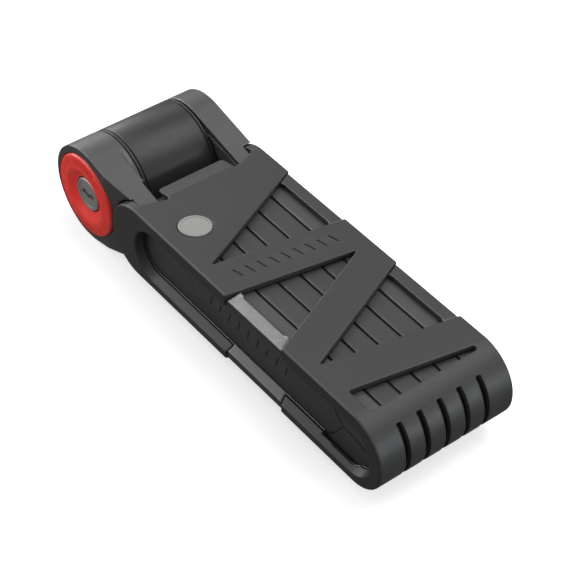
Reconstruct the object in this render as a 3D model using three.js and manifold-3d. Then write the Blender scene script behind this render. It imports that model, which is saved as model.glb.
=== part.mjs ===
// Folding bike lock, folded up and stowed in its moulded carrying case.
//
// Frame: millimetres. +X runs from the lock's head to the case's rounded tail, +Y from the keyed
// side to the far side, +Z up. The origin is under the middle of the whole object, on the surface
// that it stands on. Every fold pivot, the barrel and the key turn about axes parallel to Y.

import * as THREE from 'three';
import { mergeVertices } from 'three/addons/utils/BufferGeometryUtils.js';
import Module from 'manifold-3d';

const wasm = await Module();
wasm.setup();

// ---------------------------------------------------------------- driving dimensions

const AXIS_Z = 20.8;            // height of every pivot axis
const HEAD_X = -78.6;           // barrel axis
const HEAD_R = 20.8;            // barrel and cheeks
const TAIL_PIVOT_X = 83;        // fold rivets at the case's tail
const NEAR_PIVOT_X = -42;       // fold rivets behind the barrel
const RUN = 0.3;                // gap between faces that move over each other
const FIT = 0.2;                // gap between faces that are fastened together

const LINKS = 6;
const PITCH = 8.88;             // spacing of the folded links
const LINK_GAP = 0.6;
const LINK_HALF_H = 13.05;      // half the height of a link, and the radius of its ends
const OUTER_FACE_Y = 25.9;      // outer face of the first and last link, inside the case
const CORE_T = 5;               // steel core thickness
const CORE_HALF_H = 11;
const CORE_DEPTH = 1.8;         // an outer link's cover is this thick over its core
const POCKET_DEPTH = 0.75;      // and this thick over its rivet
const TAPER_X = NEAR_PIVOT_X;   // where a cheek has tapered down to the link's height

const CASE_HALF_W = 30.2;
const CASE_BOTTOM = 4.8;
const CASE_TOP = 36.8;
const EAR_X = -44.1;            // centre of the case's round side ears
const TAIL_X = 99.8;
const TAIL_TOP_R = 17;
const TAIL_LOW_R = 14.4;
const EDGE_R = 0.8;             // long edges of the case
const BAND_T = 1;               // zig-zag band over the shell
const SHELL_INSET = BAND_T + FIT;
const PANEL_INSET = 0.6;        // the shell comes out this far in the band's windows
const CAVITY_HALF_W = 26.2;
const CAVITY_HALF_H = LINK_HALF_H + RUN;
const LIP_X = -50.5;            // front edge of the lip between the cheeks
const LIP_HALF_W = 15.2;
const LIP_CREASE_X = -43.5;     // where the lip starts to slope down
const LIP_SLOPE = 0.2214;
const WINDOW_HALF_W = 24.3;     // the shell keeps a solid rail outside this
const TAIL_SLOT_W = 2.1;

const CHEEK_FACE_Y = 29.5;
const KEYED_CHEEK_IN_Y = 17.2;
const FAR_CHEEK_IN_Y = 19.2;
const BEZEL_R = 17.6;
const PLUG_R = 7.1;
const HOUSING_R = 11.5;
const BODY_R = 17.1;
const STUD_R = 6.5;
const RIVET_R = 4.7;
const RIVET_HOLE_R = 5;
const COVER_HOLE_R = 7.2;
const THROW = 2.4;              // travel of the locking bolt in a quarter turn of the key
const DISCS = 8;

const BOSS_XS = [-12, 52];      // bottle cage screws, 64 mm apart
const SLOT_HALF_W = 2.8;
const SLOT_HALF_L = 6;

// ---------------------------------------------------------------- solids and meshes

// A closed geometry as a solid: shared vertices merged, collapsed faces dropped, faces outwards.
function solid(geometry) {
  const bare = geometry.index ? geometry.toNonIndexed() : geometry.clone();
  bare.deleteAttribute('normal');
  bare.deleteAttribute('uv');
  const merged = mergeVertices(bare, 1e-4);
  const p = merged.attributes.position.array;
  const index = merged.index.array;
  const faces = [];
  let volume = 0;
  for (let i = 0; i < index.length; i += 3) {
    const [a, b, c] = [index[i], index[i + 1], index[i + 2]];
    if (a === b || b === c || a === c) continue;
    faces.push([a, b, c]);
    const [A, B, C] = [a, b, c].map((v) => new THREE.Vector3().fromArray(p, 3 * v));
    volume += A.dot(B.cross(C));
  }
  const triVerts = new Uint32Array(faces.flatMap(([a, b, c]) => (volume < 0 ? [a, c, b] : [a, b, c])));
  return new wasm.Manifold(new wasm.Mesh({ numProp: 3, vertProperties: new Float32Array(p), triVerts }));
}

const join = (first, ...rest) => rest.reduce((whole, part) => whole.add(part), first);
const cut = (first, ...rest) => rest.reduce((whole, part) => whole.subtract(part), first);

function extrude(shape, depth, curveSegments) {
  return new THREE.ExtrudeGeometry(shape, { depth, bevelEnabled: false, curveSegments });
}

// A prism along Y of an outline drawn in X and Z.
function prismY(shape, y0, y1, curveSegments = 8) {
  return solid(extrude(shape, y1 - y0, curveSegments).rotateX(Math.PI / 2).translate(0, y1, 0));
}

// A prism along Z of an outline drawn in X and Y.
function prismZ(shape, z0, z1, curveSegments = 6) {
  return solid(extrude(shape, z1 - z0, curveSegments).translate(0, 0, z0));
}

// A prism along X of an outline drawn in Y and Z.
function prismX(shape, x0, x1, curveSegments = 3) {
  const turn = new THREE.Matrix4().makeBasis(
    new THREE.Vector3(0, 1, 0), new THREE.Vector3(0, 0, 1), new THREE.Vector3(1, 0, 0));
  return solid(extrude(shape, x1 - x0, curveSegments).applyMatrix4(turn).translate(x0, 0, 0));
}

function box(x0, x1, y0, y1, z0, z1) {
  const geometry = new THREE.BoxGeometry(x1 - x0, y1 - y0, z1 - z0);
  return solid(geometry.translate((x0 + x1) / 2, (y0 + y1) / 2, (z0 + z1) / 2));
}

// A disc about an axis parallel to Y.
function disc(x, z, r, y0, y1, sides = 24) {
  return solid(new THREE.CylinderGeometry(r, r, y1 - y0, sides).translate(x, (y0 + y1) / 2, z));
}

// A turned piece about an axis parallel to Y: [radius, y] points from axis to axis.
function turned(x, z, profile, sides = 24) {
  const points = profile.map(([r, y]) => new THREE.Vector2(r, y));
  return solid(new THREE.LatheGeometry(points, sides).translate(x, 0, z));
}

// A turned ring: its [radius, y] section closes on itself.
const turnedRing = (x, z, section, sides) => turned(x, z, [...section, section[0]], sides);

function washer(x, z, rOut, rIn, y0, y1, sides = 24) {
  return turnedRing(x, z, [[rOut, y0], [rOut, y1], [rIn, y1], [rIn, y0]], sides);
}

// A solid through [y, points] sections: outlines in X and Z with the same count, anticlockwise.
function loftY(sections) {
  const count = sections[0][1].length;
  const position = sections.flatMap(([y, outline]) => outline.flatMap((p) => [p.x, y, p.y]));
  const last = (sections.length - 1) * count;
  const index = [];
  THREE.ShapeUtils.triangulateShape(sections[0][1], []).forEach((face) => {
    const [a, b, c] = THREE.ShapeUtils.isClockWise(face.map((v) => sections[0][1][v]))
      ? face.toReversed() : face;
    index.push(a, b, c, last + a, last + c, last + b);
  });
  for (let s = 0; s < last; s += count) {
    for (let i = 0; i < count; i += 1) {
      const [a, b] = [s + i, s + (i + 1) % count];
      index.push(b, a, a + count, b, a + count, b + count);
    }
  }
  const geometry = new THREE.BufferGeometry();
  geometry.setAttribute('position', new THREE.Float32BufferAttribute(position, 3));
  return solid(geometry.setIndex(index));
}

// ---------------------------------------------------------------- outlines

function polygon(points) {
  return new THREE.Shape(points.map(([x, y]) => new THREE.Vector2(x, y)));
}

// A polygon whose corners are rounded off by one radius, or by a list of them.
function roundedPolygon(points, radii) {
  const shape = new THREE.Shape();
  const corners = points.map(([x, y]) => new THREE.Vector2(x, y));
  corners.forEach((corner, i) => {
    const before = corners[(i + corners.length - 1) % corners.length];
    const after = corners[(i + 1) % corners.length];
    const r = Array.isArray(radii) ? radii[i] : radii;
    const start = corner.clone().add(before.clone().sub(corner).setLength(r));
    const end = corner.clone().add(after.clone().sub(corner).setLength(r));
    if (i === 0) shape.moveTo(start.x, start.y);
    else shape.lineTo(start.x, start.y);
    shape.quadraticCurveTo(corner.x, corner.y, end.x, end.y);
  });
  shape.closePath();
  return shape;
}

const rectangle = (x0, x1, y0, y1) => [[x0, y0], [x1, y0], [x1, y1], [x0, y1]];

function stadium(x0, x1, z, r) {
  const shape = new THREE.Shape();
  shape.absarc(x1, z, r, -Math.PI / 2, Math.PI / 2, false);
  shape.absarc(x0, z, r, Math.PI / 2, 1.5 * Math.PI, false);
  shape.closePath();
  return shape;
}

// An outer link from the side: a round head that tapers into the bar, and a round tail.
function outerLink(headR, halfH) {
  const dx = TAPER_X - HEAD_X;
  const tangent = Math.atan2(halfH, dx) + Math.acos(headR / Math.hypot(dx, halfH));
  const shape = new THREE.Shape();
  shape.absarc(TAIL_PIVOT_X, AXIS_Z, halfH, -Math.PI / 2, Math.PI / 2, false);
  shape.lineTo(TAPER_X, AXIS_Z + halfH);
  shape.absarc(HEAD_X, AXIS_Z, headR, tangent, 2 * Math.PI - tangent, false);
  shape.lineTo(TAPER_X, AXIS_Z - halfH);
  shape.closePath();
  return shape;
}

// The case from the side, moved inwards by an inset.
function caseOutline(inset) {
  const shape = new THREE.Shape();
  const low = CASE_BOTTOM + TAIL_LOW_R;
  shape.absarc(TAIL_X - TAIL_LOW_R, low, TAIL_LOW_R - inset, -Math.PI / 2, 0, false);
  shape.absarc(TAIL_X - TAIL_TOP_R, CASE_TOP - TAIL_TOP_R, TAIL_TOP_R - inset, 0, Math.PI / 2, false);
  shape.absarc(EAR_X, (CASE_TOP + CASE_BOTTOM) / 2, (CASE_TOP - CASE_BOTTOM) / 2 - inset,
    Math.PI / 2, 1.5 * Math.PI, false);
  shape.closePath();
  return shape;
}

// The case's solid block, moved inwards by an inset, with its long edges rounded.
function caseBlock(inset) {
  const w = CASE_HALF_W - inset;
  const section = rectangle(-w, w, CASE_BOTTOM + inset, CASE_TOP - inset);
  return prismY(caseOutline(inset), -w, w)
    .intersect(prismX(roundedPolygon(section, EDGE_R), -65, TAIL_X + 5));
}

// The inside of the case from the side: open at the mouth, round at the tail.
function cavityOutline() {
  const shape = new THREE.Shape();
  shape.absarc(TAIL_PIVOT_X, AXIS_Z, CAVITY_HALF_H, -Math.PI / 2, Math.PI / 2, false);
  shape.lineTo(-70, AXIS_Z + CAVITY_HALF_H);
  shape.lineTo(-70, AXIS_Z - CAVITY_HALF_H);
  shape.closePath();
  return shape;
}

// The long opening in a side wall: round in front, with a smaller round below than above at the tail.
function openingOutline(low, high, end, lowR) {
  const highR = 11.6;
  const headR = (high - low) / 2;
  const shape = new THREE.Shape();
  shape.absarc(end - lowR, low + lowR, lowR, -Math.PI / 2, 0, false);
  shape.absarc(end - highR, high - highR, highR, 0, Math.PI / 2, false);
  shape.absarc(-33, low + headR, headR, Math.PI / 2, 1.5 * Math.PI, false);
  const points = shape.getPoints(7);
  return points.filter((p, i) => p.distanceTo(points[(i + 1) % points.length]) > 0.01);
}

// The opening's cutter for one side: its rim slopes outwards, and a pocket widens it at the tail.
function sideOpening(side) {
  const inner = openingOutline(11, 31, 92.6, 8.2);
  const outer = openingOutline(8.4, 32, 93.9, 10.4);
  const sections = [[25, inner], [CAVITY_HALF_W, inner], [CASE_HALF_W, outer], [32, outer]];
  const pocket = new THREE.Shape();
  pocket.absarc(80, 17, 8.7, -Math.PI / 2, 0, false);
  pocket.lineTo(88.7, 20);
  pocket.lineTo(66, 20);
  pocket.lineTo(66, 8.6);
  pocket.closePath();
  const opening = loftY(sections).add(prismY(pocket, 25, 27.9, 6));
  return side < 0 ? opening.mirror([0, 1, 0]) : opening;
}

// The zig-zag's three triangular windows, each open to one side, as [x, y] corners seen from above.
const EDGE_Y = CASE_HALF_W + 1;
const WINDOWS = [
  [[-28.6, EDGE_Y], [6.5, EDGE_Y], [-3.4, -24.4]],
  [[12.3, -EDGE_Y], [46.1, -EDGE_Y], [22.2, 22.9]],
  [[35.1, EDGE_Y], [70.6, EDGE_Y], [59.1, -24.6]],
];
const TAIL_WINDOW = [[74.4, -24], [86, -24], [86, 24], [84, 24]];

// A convex outline moved inwards by d.
function shrunk(points, d) {
  const corners = points.map(([x, y]) => new THREE.Vector2(x, y));
  const turn = THREE.ShapeUtils.isClockWise(corners) ? -1 : 1;
  return corners.map((corner, i) => {
    const into = corner.clone().sub(corners[(i + points.length - 1) % points.length]).normalize();
    const out = corners[(i + 1) % points.length].clone().sub(corner).normalize();
    const miter = new THREE.Vector2(-into.y - out.y, into.x + out.x);
    const scale = (turn * d) / (1 + into.dot(out));
    return [corner.x + miter.x * scale, corner.y + miter.y * scale];
  });
}

// A window of the shell, inside its rails.
function shellWindow([a, b, tip]) {
  const edge = Math.sign(a[1]) * WINDOW_HALF_W;
  const at = ([x, y]) => [x + ((tip[0] - x) * (edge - y)) / (tip[1] - y), edge];
  const end = [tip[0], Math.max(-WINDOW_HALF_W, Math.min(WINDOW_HALF_W, tip[1]))];
  return roundedPolygon([at(a), at(b), end], [3.6, 3.6, 1.8]);
}

// ---------------------------------------------------------------- case

// The cuts that the shell and the band share: cavity, mouth, side openings and tail slots.
function caseCuts() {
  const w = CAVITY_HALF_W;
  const cavity = prismY(cavityOutline(), -w, w);
  const mouthCorners = [[-70, -w], [-46, -w], [-42, -LIP_HALF_W], [LIP_X, -LIP_HALF_W],
    [LIP_X, LIP_HALF_W], [-42, LIP_HALF_W], [-46, w], [-70, w]];
  const mouth = prismZ(roundedPolygon(mouthCorners, [0.3, 0.3, 1.6, 2.2, 2.2, 1.6, 0.3, 0.3]), 0, 45, 4);
  const cheekRoom = outerLink(HEAD_R + 0.45, LINK_HALF_H + 0.45);
  const sides = [-1, 1].flatMap((side) => {
    const span = (a, b) => [Math.min(side * a, side * b), Math.max(side * a, side * b)];
    return [sideOpening(side), prismY(cheekRoom, ...span(16.2, w), 6)];
  });
  return [cavity, mouth, ...sides, ...tailSlots()];
}

// Five slots that follow the curve of the tail, in line with the gaps between the links.
function tailSlots() {
  const [x, z] = [TAIL_X - TAIL_TOP_R, CASE_TOP - TAIL_TOP_R];
  const [from, to] = [-0.85, 0.9];
  const sector = new THREE.Shape();
  sector.absarc(x, z, 19, from, to, false);
  sector.absarc(x, z, 12, to, from, true);
  sector.closePath();
  const half = TAIL_SLOT_W / 2;
  return [-2, -1, 0, 1, 2].map((k) => prismY(sector, k * PITCH - half, k * PITCH + half, 5));
}

const bossOutline = (x, grow) =>
  roundedPolygon(rectangle(x - 14 - grow, x + 14 + grow, -12 - grow, 12 + grow), 3);

function slotOutline(x, r) {
  const shape = new THREE.Shape();
  const half = SLOT_HALF_L - SLOT_HALF_W;
  shape.absarc(x + half, 0, r, -Math.PI / 2, Math.PI / 2, false);
  shape.absarc(x - half, 0, r, Math.PI / 2, 1.5 * Math.PI, false);
  shape.closePath();
  return shape;
}

const PAD_TOP = 2;

// What the slope of the lip takes off.
function lipSlope() {
  const low = CASE_TOP - (LIP_CREASE_X + 60) * LIP_SLOPE;
  const outline = polygon([[LIP_CREASE_X, CASE_TOP], [-60, low], [-60, 45], [LIP_CREASE_X, 45]]);
  return prismY(outline, -LIP_HALF_W, LIP_HALF_W);
}

// The keyed side's rail slopes down to the side in the middle window.
function railSlope() {
  const section = polygon([[-WINDOW_HALF_W, 36.1], [-32, 34.1], [-32, 40], [-WINDOW_HALF_W, 40]]);
  return prismX(section, 0, 60).intersect(prismZ(polygon(WINDOWS[1]), 30, 45));
}

function caseShell() {
  const bosses = BOSS_XS.map((x) => prismZ(bossOutline(x, 0), PAD_TOP + FIT, 6.8, 3));
  const panels = WINDOWS.map((w) => prismZ(polygon(shrunk(w, 0.3)), 0, 45)
    .intersect(caseBlock(PANEL_INSET)));
  const screwSlots = BOSS_XS.flatMap((x) => [
    prismZ(slotOutline(x, SLOT_HALF_W), 0, 12, 4), prismZ(slotOutline(x, 5.2), 4.6, 12, 4)]);
  const windows = [...WINDOWS.map(shellWindow), roundedPolygon(TAIL_WINDOW, 0.9)].map((w) => prismZ(w, 30, 45, 3));
  const lipRoom = box(-60, LIP_CREASE_X + FIT, -LIP_HALF_W - 0.8, LIP_HALF_W + 0.8, 20, 45);
  return cut(join(caseBlock(SHELL_INSET), ...panels, ...bosses), ...caseCuts(), ...windows, ...screwSlots,
    railSlope(), lipRoom);
}

function badgeOutline(grow) {
  const shape = new THREE.Shape();
  shape.absellipse(-23.8, -16.7, 6.4 + grow, 5.8 + grow, 0, 2 * Math.PI, false, 0.9);
  return shape;
}

const BADGE_Z = CASE_TOP - 0.45;

function caseBand() {
  const windows = WINDOWS.map((w) => prismZ(roundedPolygon(w, [0.5, 0.5, 1.8]), 0, 45, 3));
  const tailWindow = prismZ(roundedPolygon(TAIL_WINDOW, 0.9), 30, 45, 3);
  const bossRoom = BOSS_XS.map((x) => prismZ(bossOutline(x, 0.3), 0, 10, 3));
  const badgeSeat = prismZ(badgeOutline(0.25), BADGE_Z - 0.1, 45, 8);
  const lip = box(-60, LIP_CREASE_X, -LIP_HALF_W, LIP_HALF_W, 20, 45);
  return cut(caseBlock(0), cut(caseBlock(BAND_T), lip), ...caseCuts(), ...windows, tailWindow,
    ...bossRoom, badgeSeat, lipSlope());
}

const badge = () => prismZ(badgeOutline(0), BADGE_Z, CASE_TOP + 0.35, 8);

// A rubber pad with a shallow groove for the bicycle's frame tube and a slot for its screw.
function mountPad(x) {
  const groove = prismX(polygon([[-7, -1], [7, -1], [0, 1.3]]), x - 20, x + 20);
  return cut(prismZ(bossOutline(x, 1), 0, PAD_TOP, 3), groove,
    prismZ(slotOutline(x, SLOT_HALF_W + 0.2), -1, 4, 4));
}

// ---------------------------------------------------------------- folding links

// Link 1 is the keyed one at -Y, link 6 the one that carries the locking stud at +Y.
function linkFaces(link) {
  const middle = (link - (LINKS + 1) / 2) * PITCH;
  if (link === 1) return [-OUTER_FACE_Y, middle + (PITCH - LINK_GAP) / 2];
  if (link === LINKS) return [middle - (PITCH - LINK_GAP) / 2, OUTER_FACE_Y];
  return [middle - (PITCH - LINK_GAP) / 2, middle + (PITCH - LINK_GAP) / 2];
}

const isOuter = (link) => link === 1 || link === LINKS;
const pivotsOf = (link) => (isOuter(link) ? [TAIL_PIVOT_X] : [TAIL_PIVOT_X, NEAR_PIVOT_X]);

// The steel core sits midway in an inner link, and close under the closed face of an outer one.
function coreFaces(link) {
  const [y0, y1] = linkFaces(link);
  if (link === 1) return [y0 + CORE_DEPTH, y0 + CORE_DEPTH + CORE_T];
  if (link === LINKS) return [y1 - CORE_DEPTH - CORE_T, y1 - CORE_DEPTH];
  return [(y0 + y1 - CORE_T) / 2, (y0 + y1 + CORE_T) / 2];
}

const coreOutline = (link, grow) => (isOuter(link)
  ? outerLink(16.5 + grow, CORE_HALF_H + grow)
  : stadium(NEAR_PIVOT_X, TAIL_PIVOT_X, AXIS_Z, CORE_HALF_H + grow));

// The hole through each outer link's head: the key cylinder passes one, the stud the other.
const headBore = (link) => (link === 1 ? HOUSING_R + RUN : 8.3);

function linkCore(link) {
  const [y0, y1] = coreFaces(link);
  const holes = pivotsOf(link).map((x) => disc(x, AXIS_Z, RIVET_HOLE_R, y0 - 1, y1 + 1, 16));
  if (isOuter(link)) holes.push(disc(HEAD_X, AXIS_Z, headBore(link), y0 - 1, y1 + 1, 32));
  return cut(prismY(coreOutline(link, 0), y0, y1, 5), ...holes);
}

// What every cover has: room for its steel core, and an opening over each rivet. The outer covers
// close over theirs.
function coverCuts(link) {
  const [y0, y1] = linkFaces(link);
  const [c0, c1] = coreFaces(link);
  const from = link === 1 ? y0 + POCKET_DEPTH : y0 - 1;
  const to = link === LINKS ? y1 - POCKET_DEPTH : y1 + 1;
  const holes = pivotsOf(link).map((x) => disc(x, AXIS_Z, COVER_HOLE_R, from, to, 20));
  return [prismY(coreOutline(link, FIT), c0 - FIT, c1 + FIT, 5), ...holes];
}

function innerCover(link) {
  const outline = stadium(NEAR_PIVOT_X, TAIL_PIVOT_X, AXIS_Z, LINK_HALF_H);
  return cut(prismY(outline, ...linkFaces(link), 6), ...coverCuts(link));
}

// The thick cheek of an outer link, drawn for the -Y side: it fills the width of the case in front
// of the ears, and slopes in above them from slopeX on.
function cheek(slopeX) {
  const thick = prismY(outerLink(HEAD_R, LINK_HALF_H), -CHEEK_FACE_Y, -OUTER_FACE_Y + 1, 12);
  const behindEar = prismY(caseOutline(-0.6), -CHEEK_FACE_Y - 1, -OUTER_FACE_Y);
  const slope = prismZ(polygon([[slopeX, -CHEEK_FACE_Y], [slopeX, -31], [90, -31], [90, -OUTER_FACE_Y],
    [-45.5, -OUTER_FACE_Y]]), -1, 45);
  return cut(thick, behindEar, slope, box(TAPER_X, 100, -31, -OUTER_FACE_Y, -1, 45));
}

function keyedCover() {
  const [y0, y1] = linkFaces(1);
  const bar = prismY(outerLink(HEAD_R, LINK_HALF_H), y0, y1, 12);
  const inner = cut(prismY(outerLink(HEAD_R, LINK_HALF_H), y1 - 1, -KEYED_CHEEK_IN_Y, 12),
    box(-56.3, 100, -20, -10, -1, 45));
  const boss = disc(HEAD_X, AXIS_Z, HEAD_R, -KEYED_CHEEK_IN_Y - 1, -14.55, 48);
  return cut(join(bar, cheek(-65), inner, boss), ...coverCuts(1),
    disc(HEAD_X, AXIS_Z, BEZEL_R + 0.25, -31, -28.2, 48),
    disc(HEAD_X, AXIS_Z, HOUSING_R + RUN, -31, -14, 32));
}

function farCover() {
  const bar = prismY(outerLink(HEAD_R, LINK_HALF_H), ...linkFaces(LINKS), 12);
  return cut(join(bar, cheek(-51).mirror([0, 1, 0])), ...coverCuts(LINKS),
    box(-100, -44, 10, FAR_CHEEK_IN_Y, -1, 45),
    disc(HEAD_X, AXIS_Z, 9.8, 27.4, 31, 32),
    disc(HEAD_X, AXIS_Z, 8.4, 15, 31, 32));
}

// A flush rivet through two links, with a head sunk in the outer face of each.
function foldRivet(link, x) {
  const y0 = linkFaces(link)[0] + (isOuter(link) ? POCKET_DEPTH : 0) + FIT;
  const y1 = linkFaces(link + 1)[1] - (isOuter(link + 1) ? POCKET_DEPTH : 0) - FIT;
  const [h0, h1] = [coreFaces(link)[0] - 0.15, coreFaces(link + 1)[1] + 0.15];
  return turned(x, AXIS_Z, [[0, y0], [6, y0], [6.6, y0 + 0.5], [6.6, h0], [RIVET_R, h0],
    [RIVET_R, h1], [6.6, h1], [6.6, y1 - 0.5], [6, y1], [0, y1]], 16);
}

function foldWasher(link, x) {
  return washer(x, AXIS_Z, 6.8, 5.1, coreFaces(link)[1] + FIT, coreFaces(link + 1)[0] - FIT, 16);
}

// ---------------------------------------------------------------- lock head

// A cup over the lock body: the smooth barrel between the cheeks.
function barrelHousing() {
  return turnedRing(HEAD_X, AXIS_Z, [[HEAD_R, -12.95], [HEAD_R, 17.25], [BODY_R + FIT, 17.25],
    [BODY_R + FIT, -11.2], [HOUSING_R + FIT, -11.2], [HOUSING_R + FIT, -12.95]], 48);
}

const BOLT_HALF_W = 4.6;
const CAM_E = THROW / Math.SQRT2;       // eccentricity of the cam pin

function lockBody() {
  return cut(disc(HEAD_X, AXIS_Z, BODY_R, -11, 17, 40),
    disc(HEAD_X, AXIS_Z, 13.6, -12, -9.7, 32),
    disc(HEAD_X, AXIS_Z, HOUSING_R + FIT, -12, -5.7, 32),
    box(HEAD_X - 5, HEAD_X + 5, -6.5, 11.2, AXIS_Z - 4, AXIS_Z + 15.3),
    disc(HEAD_X, AXIS_Z, STUD_R + 0.4, 0.5, 18, 24));
}

const thrustRing = () => washer(HEAD_X, AXIS_Z, HEAD_R, HOUSING_R + FIT, -14.3, -13.2, 48);

function studFlange() {
  return turnedRing(HEAD_X, AXIS_Z, [[HEAD_R, 17.5], [HEAD_R, 18.4], [12, 18.4], [12, 18.8],
    [8.3, 18.8], [8.3, 17.5]], 48);
}

function lockingStud() {
  return turned(HEAD_X, AXIS_Z, [[0, 1.2], [5.5, 1.2], [STUD_R, 2.2], [STUD_R, 5.8], [4.4, 5.8],
    [4.4, 11], [STUD_R, 11], [STUD_R, 17.3], [8, 17.3], [8, 27.6], [9.5, 27.6], [9.5, 29.2],
    [9.1, 29.6], [0, 29.6]], 24);
}

function cylinderHousing() {
  return turnedRing(HEAD_X, AXIS_Z, [[HOUSING_R, -28.1], [HOUSING_R, -11.05], [10.4, -11.05],
    [10.4, -9.95], [HOUSING_R, -9.95], [HOUSING_R, -5.9], [PLUG_R + 0.25, -5.9],
    [PLUG_R + 0.25, -28.1]], 32);
}

function retainingRing() {
  return cut(washer(HEAD_X, AXIS_Z, 13.2, 10.6, -10.95, -10.05, 32),
    box(HEAD_X - 3, HEAD_X + 3, -12, -9, AXIS_Z - 15, AXIS_Z));
}

// The crowned ring around the key plug.
function bezelRing() {
  return turnedRing(HEAD_X, AXIS_Z, [[7.6, -29.4], [8.2, -29.5], [11.4, -30.8], [12.4, -30.9],
    [BEZEL_R - 0.5, -30.3], [BEZEL_R, -29.8], [BEZEL_R, -28.35], [7.6, -28.35]], 48);
}

// The key's curvy slot, which lies level.
function keyholeOutline() {
  const points = [[-0.8, -3.6], [0.8, -3.6], [0.8, -1.3], [1.5, -0.2], [0.6, 1.2], [0.8, 3.6],
    [-0.8, 3.6], [-0.8, 1.4], [0, 0], [-0.9, -1.2]];
  return polygon(points.map(([a, b]) => [HEAD_X + b, AXIS_Z - a]));
}

function keyPlug() {
  const sidebarSlot = box(HEAD_X - 0.95, HEAD_X + 0.95, -26.2, -9.7, AXIS_Z + 4, AXIS_Z + 8);
  return cut(disc(HEAD_X, AXIS_Z, PLUG_R, -29.6, -8, 32), sidebarSlot,
    disc(HEAD_X, AXIS_Z, 5.6, -26.4, -9.5, 24), prismY(keyholeOutline(), -30, -25));
}

const DISC_PITCH = 2;

// A coded disc with a slot for the key and a notch for the sidebar.
function detainerDisc(i) {
  const y = -26 + i * DISC_PITCH;
  return cut(disc(HEAD_X, AXIS_Z, 5.4, y, y + 1.6, 20),
    box(HEAD_X - 3.2, HEAD_X + 3.2, y - 1, y + 3, AXIS_Z - 0.9, AXIS_Z + 0.9),
    box(HEAD_X - 0.95, HEAD_X + 0.95, y - 1, y + 3, AXIS_Z + 4.4, AXIS_Z + 6));
}

const sidebar = () => box(HEAD_X - 0.75, HEAD_X + 0.75, -26, -9.9, AXIS_Z + 4.6, AXIS_Z + 6.9);

// The cam at the plug's inner end: its eccentric pin lifts the bolt.
function driverCam() {
  const [x, z] = [HEAD_X - CAM_E * Math.SQRT1_2, AXIS_Z - CAM_E * Math.SQRT1_2];
  return join(disc(HEAD_X, AXIS_Z, 6.8, -7.7, -5.9, 24), disc(x, z, 1, -6.2, -2.2, 12));
}

// The bolt: a tip in the stud's groove, a block over the stud and a plate that the cam pin lifts.
function lockingBolt() {
  const w = BOLT_HALF_W;
  const plate = box(HEAD_X - w, HEAD_X + w, -5.4, -2, AXIS_Z - 3.6, AXIS_Z + 8);
  const block = box(HEAD_X - w, HEAD_X + w, -5.4, 10.6, AXIS_Z + 7.3, AXIS_Z + 10.2);
  const tip = box(HEAD_X - 4, HEAD_X + 4, 6.2, 10.6, AXIS_Z + 4.8, AXIS_Z + 8);
  const camSlot = box(HEAD_X - 3, HEAD_X + 0.1, -6, -1, AXIS_Z - 2.45, AXIS_Z + 0.05);
  const springSeat = solid(new THREE.CylinderGeometry(3.3, 3.3, 4, 16).rotateX(Math.PI / 2)
    .translate(HEAD_X, 2.5, AXIS_Z + 10.5));
  return cut(join(plate, block, tip), camSlot, springSeat);
}

class Helix extends THREE.Curve {
  constructor(x, y, z0, z1, r, turns) {
    super();
    Object.assign(this, { x, y, z0, z1, r, turns });
  }

  getPoint(t) {
    const a = 2 * Math.PI * this.turns * t;
    return new THREE.Vector3(this.x + this.r * Math.cos(a), this.y + this.r * Math.sin(a),
      this.z0 + (this.z1 - this.z0) * t);
  }
}

function boltSpring() {
  const turns = 4;
  const wire = new THREE.Shape().absarc(0, 0, 0.35, 0, 2 * Math.PI, false);
  const extrudePath = new Helix(HEAD_X, 2.5, AXIS_Z + 9, AXIS_Z + 14.8, 2.6, turns);
  return solid(new THREE.ExtrudeGeometry(wire, { steps: 12 * turns, curveSegments: 3, extrudePath }));
}

// ---------------------------------------------------------------- assembly

const MATERIALS = {
  caseShell: { color: 0x4a4a49, roughness: 0.6, metalness: 0 },
  caseBand: { color: 0x4d4d4b, roughness: 0.55, metalness: 0 },
  badge: { color: 0xd0d0cc, roughness: 0.4, metalness: 0 },
  rubber: { color: 0x1d1d1d, roughness: 0.9, metalness: 0 },
  cover: { color: 0x50504e, roughness: 0.5, metalness: 0 },
  barrel: { color: 0x555553, roughness: 0.4, metalness: 0 },
  steel: { color: 0x8a8c8e, roughness: 0.35, metalness: 1 },
  brass: { color: 0xb08d4a, roughness: 0.35, metalness: 1 },
  plug: { color: 0x8f918e, roughness: 0.4, metalness: 0.6 },
  bezel: { color: 0xe23732, roughness: 0.4, metalness: 0 },
};

const lock = new THREE.Group();
lock.name = 'folding_lock_in_case';

function place(name, part, material) {
  const { vertProperties, triVerts } = part.getMesh();
  const geometry = new THREE.BufferGeometry();
  geometry.setAttribute('position', new THREE.BufferAttribute(vertProperties, 3));
  geometry.setIndex(new THREE.BufferAttribute(triVerts, 1));
  geometry.computeVertexNormals();
  const mesh = new THREE.Mesh(geometry, new THREE.MeshStandardMaterial(MATERIALS[material]));
  mesh.name = name;
  lock.add(mesh);
}

place('case_shell', caseShell(), 'caseShell');
place('case_band', caseBand(), 'caseBand');
place('case_badge', badge(), 'badge');
place('mount_pad_front', mountPad(BOSS_XS[0]), 'rubber');
place('mount_pad_rear', mountPad(BOSS_XS[1]), 'rubber');

for (let link = 1; link <= LINKS; link += 1) {
  place(`link_${link}_core`, linkCore(link), 'steel');
  if (!isOuter(link)) place(`link_${link}_cover`, innerCover(link), 'cover');
}
place('link_1_cover', keyedCover(), 'cover');
place('link_6_cover', farCover(), 'cover');

for (let link = 1; link < LINKS; link += 1) {
  const x = link % 2 === 1 ? TAIL_PIVOT_X : NEAR_PIVOT_X;
  place(`fold_rivet_${link}_${link + 1}`, foldRivet(link, x), 'steel');
  place(`fold_washer_${link}_${link + 1}`, foldWasher(link, x), 'brass');
}

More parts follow.
